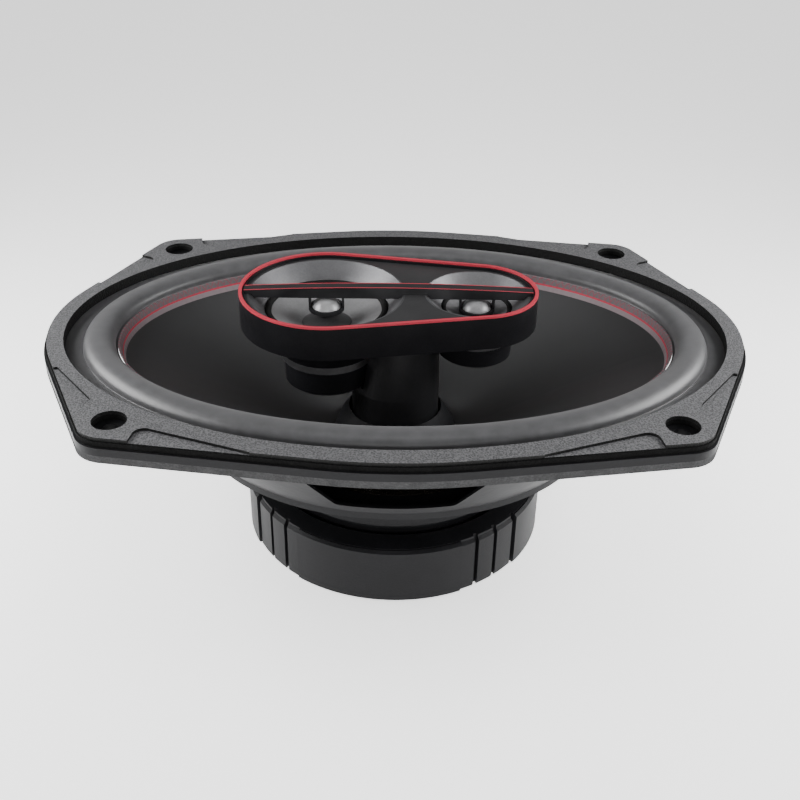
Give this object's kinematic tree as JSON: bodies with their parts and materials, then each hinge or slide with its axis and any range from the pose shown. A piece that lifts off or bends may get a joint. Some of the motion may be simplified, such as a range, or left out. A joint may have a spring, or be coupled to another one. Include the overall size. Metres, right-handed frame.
{
  "type": "coaxial car speaker",
  "caption": "Oval coaxial car speaker: eared basket, woofer cone and surround, covered magnet, and a post carrying a bridge with midrange, tweeter and dome drivers.",
  "frame": {"origin": "speaker axis in the mounting plane, the underside of the rear gasket, at the centre of the four flange holes", "axes": "+Z out of the front, +X along the oval's long axis, the midrange lobe towards -X, the terminals towards +Y"},
  "size_m": [0.237, 0.1684, 0.0919],
  "materials": {
    "basket_paint": "satin",
    "foam": "matte",
    "trim_plastic": "textured",
    "surround_rubber": "satin",
    "cone_plastic": "gloss",
    "edge_band": "gloss",
    "former": "satin",
    "copper": "satin",
    "spider_cloth": "matte",
    "plated_steel": "satin",
    "ferrite": "matte",
    "cover_plastic": "satin",
    "black_plastic": "satin",
    "red_plastic": "gloss",
    "bar_plastic": "gloss",
    "silver": "satin",
    "small_cone": "satin",
    "thin_rubber": "matte",
    "bright_dome": "polished",
    "neodymium": "polished",
    "board_fibre": "matte",
    "tinned_brass": "satin",
    "capacitor_sleeve": "gloss"
  },
  "bodies": {
    "frame": {"basket": "basket_paint", "rear_gasket": "foam", "front_gasket": "foam", "trim_ring": "trim_plastic", "surround": "surround_rubber", "spider": "spider_cloth", "front_plate": "plated_steel", "magnet": "ferrite", "yoke": "plated_steel", "magnet_cover": "cover_plastic", "plate_rivets": "plated_steel", "center_post": "black_plastic", "post_bolt": "plated_steel", "bridge_housing": "black_plastic", "housing_rim": "red_plastic", "front_deck": "black_plastic", "bridge_bar": "bar_plastic", "mid_flare": "silver", "mid_basket": "black_plastic", "mid_front_plate": "plated_steel", "mid_magnet": "ferrite", "mid_yoke": "plated_steel", "mid_surround": "thin_rubber", "mid_spider": "spider_cloth", "tweeter_flare": "silver", "tweeter_can": "black_plastic", "tweeter_front_plate": "plated_steel", "tweeter_magnet": "ferrite", "tweeter_yoke": "plated_steel", "tweeter_surround": "thin_rubber", "left_pod": "black_plastic", "right_pod": "black_plastic", "left_pod_magnet": "neodymium", "right_pod_magnet": "neodymium", "terminal_board": "board_fibre", "positive_blade": "tinned_brass", "negative_blade": "tinned_brass", "terminal_rivets": "tinned_brass", "crossover_capacitors": "capacitor_sleeve", "lead_pins": "tinned_brass"},
    "woofer_diaphragm": {"woofer_cone": "cone_plastic", "cone_edge_ring": "edge_band", "dust_cap": "cone_plastic", "coil_former": "former", "voice_coil": "copper"},
    "mid_diaphragm": {"mid_cone": "small_cone", "mid_dust_cap": "small_cone", "mid_voice_coil": "copper"},
    "tweeter_diaphragm": {"tweeter_cone": "small_cone", "tweeter_dust_cap": "small_cone", "tweeter_voice_coil": "copper"},
    "left_diaphragm": {"left_dome": "bright_dome", "left_dome_coil": "copper"},
    "right_diaphragm": {"right_dome": "bright_dome", "right_dome_coil": "copper"}
  },
  "joints": [
    {"name": "woofer_travel", "type": "slide", "parent": "frame", "child": "woofer_diaphragm", "axis": [0, 0, 1], "range_m": [-0.0045, 0.0045], "stiffness_N_per_m": 2500, "deforming": ["surround", "spider"]},
    {"name": "midrange_travel", "type": "slide", "parent": "frame", "child": "mid_diaphragm", "axis": [0, 0, 1], "range_m": [-0.0006, 0.0006], "stiffness_N_per_m": 6000, "deforming": ["mid_surround", "mid_spider"]},
    {"name": "tweeter_travel", "type": "slide", "parent": "frame", "child": "tweeter_diaphragm", "axis": [0, 0, 1], "range_m": [-0.0002, 0.0002], "stiffness_N_per_m": 3000, "deforming": ["tweeter_surround"]},
    {"name": "left_dome_travel", "type": "slide", "parent": "frame", "child": "left_diaphragm", "axis": [0, 0, 1], "range_m": [-0.0002, 0.0002], "stiffness_N_per_m": 1500},
    {"name": "right_dome_travel", "type": "slide", "parent": "frame", "child": "right_diaphragm", "axis": [0, 0, 1], "range_m": [-0.0002, 0.0002], "stiffness_N_per_m": 1500}
  ]
}
